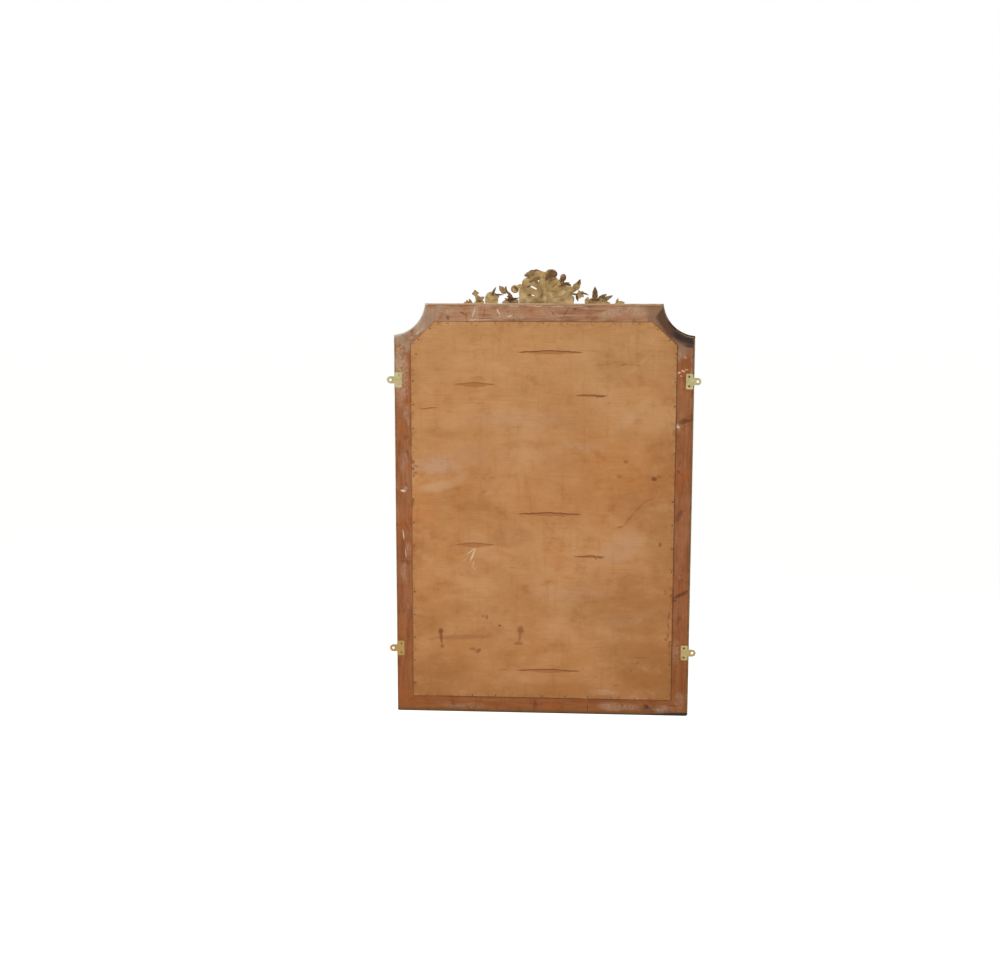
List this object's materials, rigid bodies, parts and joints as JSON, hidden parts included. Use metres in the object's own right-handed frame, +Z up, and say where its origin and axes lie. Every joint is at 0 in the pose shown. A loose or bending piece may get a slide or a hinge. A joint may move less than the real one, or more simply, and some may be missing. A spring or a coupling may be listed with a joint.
{
  "type": "wall mirror",
  "caption": "Tall bevelled wall mirror in a gilded frame with scooped top corners, a pierced carved crest, a plywood back board and brass hanger plates.",
  "frame": {"origin": "centre of the four wall-screw holes, in the plane of the wall (the back faces of the hanger plates)", "axes": "+Z up, -Y out of the glass into the room, +Y into the wall, +X to the right seen from the front"},
  "size_m": [1.158, 0.07, 1.6811],
  "materials": {
    "pine": "stained, matt",
    "pale_wood": "bare",
    "plywood": "bare, aged",
    "iron": "dark",
    "brass": "satin",
    "mirror": "silvered, bevelled",
    "crest_wood": "ochre ground behind, gilded in front",
    "crest_carving": "gilded",
    "gilding": "water gilded, rubbed"
  },
  "bodies": {
    "root": {"stile_left": "pine", "stile_right": "pine", "top_rail": "pine", "bottom_rail": "pine", "corner_block_left": "pine", "corner_block_right": "pine", "frame_tongues": "pale_wood", "back_board": "plywood", "board_tacks": "iron", "moulding_left": "gilding", "moulding_right": "gilding", "moulding_top": "gilding", "moulding_bottom": "gilding", "moulding_corner_left": "gilding", "moulding_corner_right": "gilding", "slip_left": "gilding", "slip_right": "gilding", "slip_top": "gilding", "slip_bottom": "gilding", "slip_corner_left": "gilding", "slip_corner_right": "gilding", "mirror_glass": "mirror", "glass_blocks": "pale_wood", "hanger_plate_upper_left": "brass", "hanger_plate_upper_right": "brass", "hanger_plate_lower_left": "brass", "hanger_plate_lower_right": "brass", "hanger_screws": "brass", "crest_cartouche_left": "crest_wood", "crest_cartouche_right": "crest_wood", "crest_rail_left": "crest_wood", "crest_rail_right": "crest_wood", "crest_dowels": "pale_wood", "crest_shell": "crest_carving", "crest_pendant_leaf": "crest_carving", "crest_crown_leaf": "crest_carving", "crest_brow_leaf": "crest_carving", "crest_side_leaf": "crest_carving", "crest_horn_leaf": "crest_carving", "crest_ball_scroll": "crest_carving", "crest_stems_right": "crest_carving", "crest_fan_leaf": "crest_carving", "crest_lobed_leaf": "crest_carving", "crest_end_leaf_right": "crest_carving", "crest_flower": "crest_carving", "crest_leaf_bed_left": "crest_carving", "crest_end_leaf_left": "crest_carving", "crest_rose_left": "crest_carving", "crest_rose_right": "crest_carving"}
  },
  "joints": []
}
